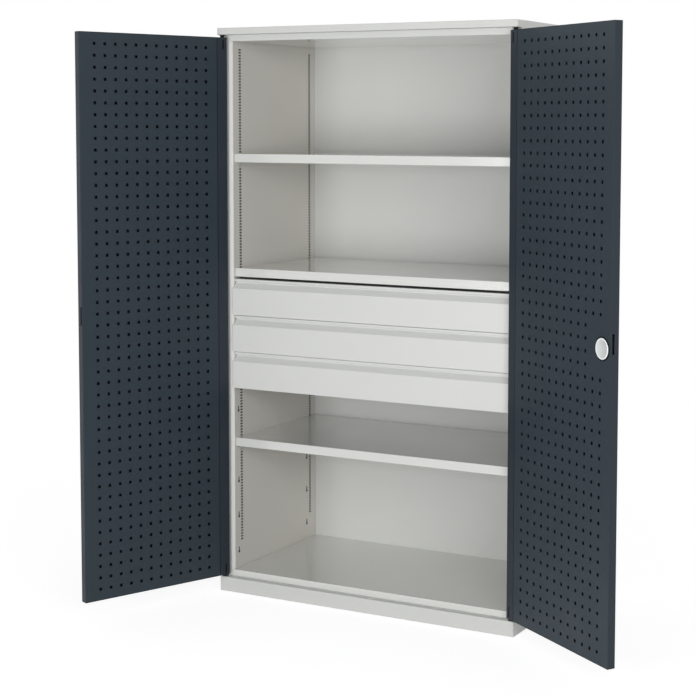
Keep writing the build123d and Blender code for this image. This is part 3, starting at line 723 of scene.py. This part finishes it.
def fold_rim(sheet, side):
    """Fold the rim into the door and round the fold."""
    draw_out(sheet, lambda p: on_rim(side, p), (0, -panel_fold, 0))
    pick(sheet, "EDGE", lambda p: on_rim(side, p) and abs(p.y - front - door_depth) < NEAR)
    bpy.ops.mesh.bevel(offset=fold_radius, offset_type="OFFSET", segments=3)
    bpy.ops.object.mode_set(mode="OBJECT")


def cut_latch_slot(sheet, side):
    """Cut the latch's slot into the fold of the free edge, with four planes."""
    edge = door_x(side, door_width - gauge)
    low, high = latch_levels
    outer, inner = (front + depth for depth in latch_depths)

    def close(p):
        return abs(p.x - edge) < NEAR and low - latch_reach < p.z < high + latch_reach

    def inside(p):
        return low - NEAR < p.z < high + NEAR and outer - NEAR < p.y < inner + NEAR

    for place, normal in (
        ((edge, 0, low), (0, 0, 1)),
        ((edge, 0, high), (0, 0, 1)),
        ((edge, outer, 0), (0, 1, 0)),
        ((edge, inner, 0), (0, 1, 0)),
    ):
        pick(sheet, "FACE", close)
        bpy.ops.mesh.bisect(plane_co=place, plane_no=normal)
    pick(sheet, "FACE", lambda p: close(p) and inside(p))
    bpy.ops.mesh.delete(type="FACE")
    bpy.ops.object.mode_set(mode="OBJECT")


# %% [markdown]
# Close round the lock there is no room for a hook, so eight holes of the right door are shut. Last
# the sheet gets its gauge, inwards, so that the face that is seen stays where it was drawn, and
# the panel swings open with its door.

# %% Hang the panels
lock_columns = (10, 11)
lock_rows = (22, 23, 24, 25)


def plug_holes(sheet, side, columns, rows):
    """Shut single holes of the grid, where the lock sits behind the sheet."""
    reach = hole_size / 2 + NEAR
    for column in columns:
        for row in rows:
            x = door_x(side, first_column + column * hole_pitch)
            z = first_row + row * hole_pitch
            pick(sheet, "EDGE", lambda p: abs(p.x - x) < reach and abs(p.z - z) < reach)
            bpy.ops.mesh.edge_face_add()
            bpy.ops.object.mode_set(mode="OBJECT")


for side, body in ((-1, "left_door"), (1, "right_door")):
    panel = punched_door_sheet(side, f"{body}_punched_panel")
    if side > 0:
        plug_holes(panel, side, lock_columns, lock_rows)
    fold_rim(panel, side)
    cut_latch_slot(panel, side)
    thicken(panel, gauge)
    swing_open(panel, side)
    paint(panel, anthracite)
    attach(panel, body)
    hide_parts(f"{body}_panel")
    print(panel.name, len(panel.data.polygons), "faces")

# %% [markdown]
# ## The side liners
# The shelves hang on clips in two columns of small slots that run up each side liner, 172 slots to
# a column. As on the doors, one cell is made and repeated in a row, and the plain sheet between and
# around the two columns is drawn out of their rims. The rear edge is folded outwards to the back.

# %% Side liners
liner_x = 522 * MM
liner_front = -261 * MM
liner_rear = 278 * MM
liner_low = 50 * MM
liner_high = 1927 * MM
liner_rear_fold = 15 * MM
slot_pitch = 10 * MM
slot_strip = 26 * MM
slot_share = 0.5
slot_count = 172
first_slot = 169 * MM
slot_columns = (-220 * MM, 237 * MM)


def slot_column(side, y):
    """One column of shelf slots, its face to the inside of the cabinet."""
    turned = (0, -side * math.pi / 2, 0)
    size = (slot_pitch, slot_strip)
    start = (side * liner_x, y, first_slot)
    strip = punched_cell("slot_column", start, turned, size, slot_share)
    repeat(strip, slot_count, (0, 0, slot_pitch))
    return strip


def join(pieces, name):
    """Join sheets into one piece and merge their common edges."""
    work_on(pieces[0])
    for other in pieces[1:]:
        other.select_set(True)
    bpy.ops.object.join()
    whole = bpy.context.object
    whole.name = name
    bpy.ops.object.mode_set(mode="EDIT")
    bpy.ops.mesh.select_all(action="SELECT")
    bpy.ops.mesh.remove_doubles(threshold=NEAR)
    bpy.ops.object.mode_set(mode="OBJECT")
    return whole


def slotted_liner(side, name):
    """Two slot columns, the sheet between and around them, and the rear fold."""
    fore, rear = (slot_column(side, y) for y in slot_columns)
    half = slot_strip / 2
    gap = slot_columns[1] - slot_columns[0] - slot_strip
    draw_out(fore, lambda p: abs(p.y - slot_columns[0] - half) < NEAR, (0, gap, 0))
    liner = join([fore, rear], name)
    front_edge = slot_columns[0] - half
    draw_out(liner, lambda p: abs(p.y - front_edge) < NEAR, (0, liner_front - front_edge, 0))
    rear_edge = slot_columns[1] + half
    draw_out(liner, lambda p: abs(p.y - rear_edge) < NEAR, (0, liner_rear - rear_edge, 0))
    low = first_slot - slot_pitch / 2
    high = low + slot_count * slot_pitch
    draw_out(liner, lambda p: abs(p.z - low) < NEAR, (0, 0, liner_low - low))
    draw_out(liner, lambda p: abs(p.z - high) < NEAR, (0, 0, liner_high - high))
    draw_out(liner, lambda p: abs(p.y - liner_rear) < NEAR, (side * liner_rear_fold, 0, 0))
    face_x = side * liner_x
    pick(liner, "EDGE", lambda p: abs(p.y - liner_rear) < NEAR and abs(p.x - face_x) < NEAR)
    bpy.ops.mesh.bevel(offset=fold_radius, offset_type="OFFSET", segments=3)
    bpy.ops.object.mode_set(mode="OBJECT")
    return liner


# %% [markdown]
# Each liner also has ten keyholes, five to a column, to hang fittings in. They are few and round,
# and they lie across the edges of the slotted mesh, so here a Boolean is the better tool. The
# cutter is a solid made like the hole itself: a disc whose top is drawn up into a neck.

# %% Keyhole cutter
keyhole_radius = 5 * MM
keyhole_neck = 2.5 * MM
keyhole_neck_start = 4 * MM
keyhole_rise = 12 * MM
keyhole_columns = (-238 * MM, 214 * MM)
keyholes = 5
first_keyhole = 128 * MM
keyhole_pitch = 125 * MM
cutter_start = 2 * MM
cutter_length = 5 * MM


def keyhole_cutter(side, y):
    """Five solid keyholes: a disc whose top is drawn up into a narrow neck."""
    bpy.ops.object.select_all(action="DESELECT")
    bpy.ops.mesh.primitive_circle_add(
        vertices=24,
        radius=keyhole_radius,
        fill_type="NGON",
        location=(side * (liner_x - cutter_start), y, first_keyhole),
        rotation=(0, math.pi / 2, 0),
    )
    cutter = bpy.context.object
    bpy.ops.object.transform_apply(location=True, rotation=True, scale=True)
    crown = first_keyhole + keyhole_neck_start
    draw_out(
        cutter,
        lambda p: p.z > crown and abs(p.y - y) < keyhole_neck + NEAR,
        (0, 0, keyhole_rise),
    )
    pick(cutter, "VERT", lambda p: p.z > first_keyhole + keyhole_rise)
    bpy.ops.transform.resize(value=(1, 1, 0))
    bpy.ops.mesh.select_all(action="SELECT")
    through = (side * cutter_length, 0, 0)
    bpy.ops.mesh.extrude_region_move(TRANSFORM_OT_translate={"value": through})
    bpy.ops.mesh.select_all(action="SELECT")
    bpy.ops.mesh.normals_make_consistent(inside=False)
    bpy.ops.object.mode_set(mode="OBJECT")
    row = cutter.modifiers.new("row", "ARRAY")
    row.count = keyholes
    row.use_relative_offset = False
    row.use_constant_offset = True
    row.constant_offset_displace = (0, 0, keyhole_pitch)
    finish_modifier(cutter, row)
    return cutter


def cut(piece, cutter):
    """Cut one solid out of another and throw the cutter away."""
    cavity = piece.modifiers.new("cut", "BOOLEAN")
    cavity.operation = "DIFFERENCE"
    cavity.solver = "EXACT"
    cavity.object = cutter
    finish_modifier(piece, cavity)
    bpy.data.objects.remove(cutter)


# %% [markdown]
# The liners are put together here: slotted, given their gauge and cut. Their backs and the cut
# edges of their holes get a dark grey of painted shade, so that the holes show dark.

# %% Cut the liners
def in_slot_shade(ring):
    """True on the back of a liner and on the cut edges of its holes, where shade is painted."""
    depths = [abs(p.x) - liner_x for p in ring]
    if max(depths) < NEAR:
        return False
    if min(depths) > gauge - NEAR:
        return True
    holes = [(y, slot_strip * slot_share / 2) for y in slot_columns]
    holes += [(y, keyhole_radius) for y in keyhole_columns]
    return any(all(abs(p.y - y) < reach + NEAR for p in ring) for y, reach in holes)


for side, hand in ((-1, "left"), (1, "right")):
    liner = slotted_liner(side, f"{hand}_slotted_liner")
    thicken(liner, gauge)
    for y in keyhole_columns:
        cut(liner, keyhole_cutter(side, y))
    paint(liner, liner_grey)
    paint_shade_on(liner, in_slot_shade)
    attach(liner, "carcass")
    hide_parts(f"{hand}_side_liner")
    print(liner.name, len(liner.data.polygons), "faces")

# %% [markdown]
# ## The folded sheets
# A press brake can't make a sharp fold: the outside of a bend in 1 mm sheet has a radius of nearly
# 2 mm, and that small round is what catches the light along every edge of a steel cabinet. The
# frame's sheets have sharp folds. A Bevel modifier would round every sharp edge alike, also the
# cut edges, which stay square. So each sheet is copied, its loose triangles are merged and paired
# into quads, and only its folds are bevelled: wide on the outside and narrow on the inside, so that
# the sheet keeps its gauge. A fold is told from a cut edge by its two faces: both are broad.

# %% Copy a sheet and find its folds
body_of = {node: body for body, nodes in record["behaviour"]["bodies"].items() for node in nodes}
fold_angles = (35, 145)


def merged_copy(node, name):
    """A copy of a frame piece, its loose triangles merged and paired into quads."""
    piece = bpy.data.objects.new(name, frame["nodes"][node].data.copy())
    bpy.context.scene.collection.objects.link(piece)
    work_on(piece)
    bpy.ops.object.mode_set(mode="EDIT")
    bpy.ops.mesh.select_all(action="SELECT")
    bpy.ops.mesh.remove_doubles(threshold=NEAR)
    bpy.ops.mesh.tris_convert_to_quads(face_threshold=math.radians(0.5), shape_threshold=math.pi)
    bpy.ops.object.mode_set(mode="OBJECT")
    bpy.ops.mesh.customdata_custom_splitnormals_clear()
    return piece


def across(mesh, face, start, along):
    """How far a face reaches from one of its edges."""
    reach = 0
    for index in face.vertices:
        offset = mesh.vertices[index].co - start
        reach = max(reach, (offset - along * offset.dot(along)).length)
    return reach


def fold_edges(mesh, outside, broad):
    """Indices of the fold edges: the convex ones, or the concave ones."""
    beside = {}
    for face in mesh.polygons:
        ring = list(face.vertices)
        for a, b in zip(ring, ring[1:] + ring[:1]):
            beside.setdefault((min(a, b), max(a, b)), []).append((face, a, b))
    found = []
    for edge in mesh.edges:
        pair = beside.get(tuple(sorted(edge.vertices)), [])
        if len(pair) != 2:
            continue
        (one, a, b), (other, _, _) = pair
        turn = one.normal.angle(other.normal, 0)
        if not math.radians(fold_angles[0]) < turn < math.radians(fold_angles[1]):
            continue
        start = mesh.vertices[a].co
        along = (mesh.vertices[b].co - start).normalized()
        inward = -other.normal.cross(along)
        convex = inward.dot(one.normal) < 0
        if convex != outside:
            continue
        if min(across(mesh, face, start, along) for face in (one, other)) > broad:
            found.append(edge.index)
    return found


# %% [markdown]
# A bevelled sheet that is shaded smooth looks dented, because the shading of its broad faces bends
# towards the rounds. The Weighted Normal modifier lets the broad faces lead, so they stay flat and
# only the narrow rounds shade from one to the next.

# %% Round a sheet
def bevel_edges(piece, indices, size, segments):
    """Bevel the edges with the given indices."""
    work_on(piece)
    bpy.ops.object.mode_set(mode="EDIT")
    bpy.ops.mesh.select_mode(type="EDGE")
    bpy.ops.mesh.select_all(action="DESELECT")
    bpy.ops.object.mode_set(mode="OBJECT")
    for index in indices:
        piece.data.edges[index].select = True
    bpy.ops.object.mode_set(mode="EDIT")
    bpy.ops.mesh.bevel(offset=size, offset_type="OFFSET", segments=segments, clamp_overlap=False)
    bpy.ops.object.mode_set(mode="OBJECT")


def shade_rounds(piece, angle):
    """Shade the small rounds smooth while the broad faces stay flat."""
    work_on(piece)
    bpy.ops.object.shade_smooth_by_angle(angle=math.radians(angle))
    lead = piece.modifiers.new("broad_faces_lead", "WEIGHTED_NORMAL")
    lead.weight = 100
    lead.keep_sharp = True
    finish_modifier(piece, lead)


def round_folds(piece, outer=1.9 * MM, inner=0.8 * MM, broad=3.2 * MM):
    """Round the outside and the inside of every fold of a sheet."""
    outside = fold_edges(piece.data, True, broad)
    if outside:
        bevel_edges(piece, outside, outer, 4)
    inside = fold_edges(piece.data, False, broad)
    if inside:
        bevel_edges(piece, inside, inner, 2)
    shade_rounds(piece, 40)
    return len(outside), len(inside)


def stand_in(piece, node, finish=None):
    """Let a new piece take the place, the body and the finish of a frame piece."""
    paint(piece, finish or finishes[slot_of[node]])
    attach(piece, body_of[node])
    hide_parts(node)


# %% [markdown]
# The carcass is eleven sheets. The floor pan and the ceiling panel fit snugly between the liners,
# so their folds are tighter, or a gap would open along them. These two and the shelves have the
# lacquered grey. The inner faces of the side skins, behind the liners, get painted shade, so that
# the slots stay dark.

# %% Round the sheets of the carcass
tight = 1.0 * MM
snug = ("floor_pan", "ceiling_panel")
for node in (
    "left_side_skin",
    "right_side_skin",
    "back_panel",
    "header_rail",
    "top_panel",
    "ceiling_panel",
    "floor_pan",
    "base_frame",
    "lower_shelf",
    "middle_shelf",
    "upper_shelf",
):
    sheet = merged_copy(node, f"{node}_folded")
    counts = round_folds(sheet, outer=tight) if node in snug else round_folds(sheet)
    lacquered = node in snug or node.endswith("_shelf")
    stand_in(sheet, node, shelf_grey if lacquered else None)
    # painted shade on the inner face behind the liner, so the slots show dark
    if node.endswith("side_skin"):
        inner_face = half_width - gauge
        paint_shade_on(sheet, lambda ring: all(abs(abs(p.x) - inner_face) < NEAR for p in ring))
    print(sheet.name, "folds", counts, "faces", len(sheet.data.polygons))

# %% [markdown]
# A drawer is a tray and a front with a deep finger groove folded along its top. The three drawers
# slide on their own, so each has a tray and a front of its own, made by a loop. Their folds are
# tight, because the gaps between the fronts are narrow and wide rounds would open them.

# %% Round the drawers
for number in (1, 2, 3):
    for kind in ("front", "tray"):
        node = f"drawer_{number}_{kind}"
        sheet = merged_copy(node, f"{node}_folded")
        counts = round_folds(sheet, outer=tight)
        stand_in(sheet, node)
        print(sheet.name, "folds", counts, "faces", len(sheet.data.polygons))

# %% [markdown]
# The skin of a door is a shallow tray, and along the hinge it is folded round to the inner face.
# It already stands open in the frame. A fold is found by the angle between its faces and not by
# the way that it points, so the same helper rounds it as it stands.

# %% Round the door skins
for side in ("left", "right"):
    node = f"{side}_door_skin"
    sheet = merged_copy(node, f"{node}_folded")
    counts = round_folds(sheet)
    stand_in(sheet, node, skin_anthracite)
    print(sheet.name, "folds", counts, "faces", len(sheet.data.polygons))

# %% [markdown]
# ## The lock cover
# On the inside of the right door a round cover hides the lock. It has a bright rim and a slightly
# sunk middle. Round it lies a thin near-black ring of painted shade, the shadow in the gap between
# the cover and the sheet. The ring and the middle start as filled circles that are extruded, inset
# and pushed in, as on a lathe. Spinning a profile would give the same faces, but an inset says
# directly how wide a border is and how deep the step.

# %% Turn the shade ring and the disc
gap_ring_radius = 35.5 * MM
gap_ring_height = 1.2 * MM
gap_ring_edge = (0.4 * MM, 0.3 * MM)
disc_lift = 1.3 * MM
disc_height = 0.9 * MM
disc_border = 3.6 * MM
disc_step = 1.0 * MM
disc_sink = 0.6 * MM
rim_outer = 31.5 * MM
rim_width = 5.4 * MM
rim_middle = rim_outer - rim_width / 2
cover_place = (door_x(1, lock_s), front + door_depth, lock_z)
facing_in = (-math.pi / 2, 0, 0)


def round_blank(name, radius, lift):
    """A filled circle on the shut door's inner face, facing into the cabinet."""
    x, y, z = cover_place
    bpy.ops.object.select_all(action="DESELECT")
    bpy.ops.mesh.primitive_circle_add(
        vertices=72,
        radius=radius,
        fill_type="NGON",
        location=(x, y + lift, z),
        rotation=facing_in,
    )
    blank = bpy.context.object
    blank.name = name
    bpy.ops.object.transform_apply(location=True, rotation=True, scale=True)
    return blank


def raise_face(piece, height):
    """Extrude the blank's face out of the door."""
    work_on(piece)
    bpy.ops.object.mode_set(mode="EDIT")
    bpy.ops.mesh.select_all(action="SELECT")
    bpy.ops.mesh.extrude_region_move(TRANSFORM_OT_translate={"value": (0, height, 0)})


def smooth_round():
    """Turn the faces outwards and shade the round parts smooth."""
    bpy.ops.mesh.select_all(action="SELECT")
    bpy.ops.mesh.normals_make_consistent(inside=False)
    bpy.ops.object.mode_set(mode="OBJECT")
    bpy.ops.object.shade_smooth_by_angle(angle=math.radians(35))


# a near-black ring of painted shade, the shadow in the gap round the cover
gap_ring = round_blank("lock_cover_gap_ring", gap_ring_radius, 0)
raise_face(gap_ring, gap_ring_height)
bpy.ops.mesh.inset(thickness=gap_ring_edge[0], depth=gap_ring_edge[1])
smooth_round()

disc = round_blank("lock_cover_disc", rim_middle, disc_lift)
raise_face(disc, disc_height)
bpy.ops.mesh.inset(thickness=disc_border, depth=0)
bpy.ops.mesh.inset(thickness=disc_step, depth=-disc_sink)
smooth_round()
print(gap_ring.name, disc.name)

# %% [markdown]
# The rim is a ring with a round section. A torus is flattened to the height of the cover, and its
# back half, which would lie in the disc, is cut away with a bisect that closes the cut.

# %% Bend the rim and place the cover
rim_flatness = 0.62
cover_height = 3 * MM

bpy.ops.object.select_all(action="DESELECT")
bpy.ops.mesh.primitive_torus_add(
    location=cover_place,
    rotation=facing_in,
    major_segments=72,
    minor_segments=16,
    major_radius=rim_middle,
    minor_radius=rim_width / 2,
)
rim = bpy.context.object
rim.name = "lock_cover_rim"
rim.scale = (1, 1, rim_flatness)
bpy.ops.object.transform_apply(location=True, rotation=True, scale=True)
work_on(rim)
bpy.ops.object.mode_set(mode="EDIT")
bpy.ops.mesh.select_all(action="SELECT")
x, y, z = cover_place
bpy.ops.transform.translate(value=(0, cover_height - rim_flatness * rim_width / 2, 0))
bpy.ops.mesh.bisect(
    plane_co=(x, y + disc_lift, z), plane_no=(0, -1, 0), use_fill=True, clear_outer=True
)
bpy.ops.object.mode_set(mode="OBJECT")
bpy.ops.object.shade_smooth_by_angle(angle=math.radians(50))

for piece, finish, slot in (
    (gap_ring, gap_shade, "black_plastic"),
    (disc, cover_white, "cover_plastic"),
    (rim, rim_white, "cover_plastic"),
):
    swing_open(piece, 1)
    paint(piece, finish)
    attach(piece, "right_door")
    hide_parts("lock_cover")
    print(piece.name, len(piece.data.polygons), "faces")

# %% [markdown]
# ## The turn handle
# The handle is moulded, so none of its edges is sharp. Its frame piece has the right shape, and
# only the edges are softened: every convex edge that turns sharply gets a narrow round bevel, and
# the curved walls are shaded smooth. Modelling the handle afresh would gain nothing.

# %% Soften the mouldings
softening = {"turn_handle": 0.9 * MM, "handle_rosette": 0.7 * MM}
narrowest_wall = 1.5 * MM

for node, size in softening.items():
    moulding = merged_copy(node, f"{node}_softened")
    edges = fold_edges(moulding.data, True, narrowest_wall)
    bevel_edges(moulding, edges, size, 3)
    shade_rounds(moulding, 32)
    stand_in(moulding, node)
    print(moulding.name, "edges", len(edges), "faces", len(moulding.data.polygons))
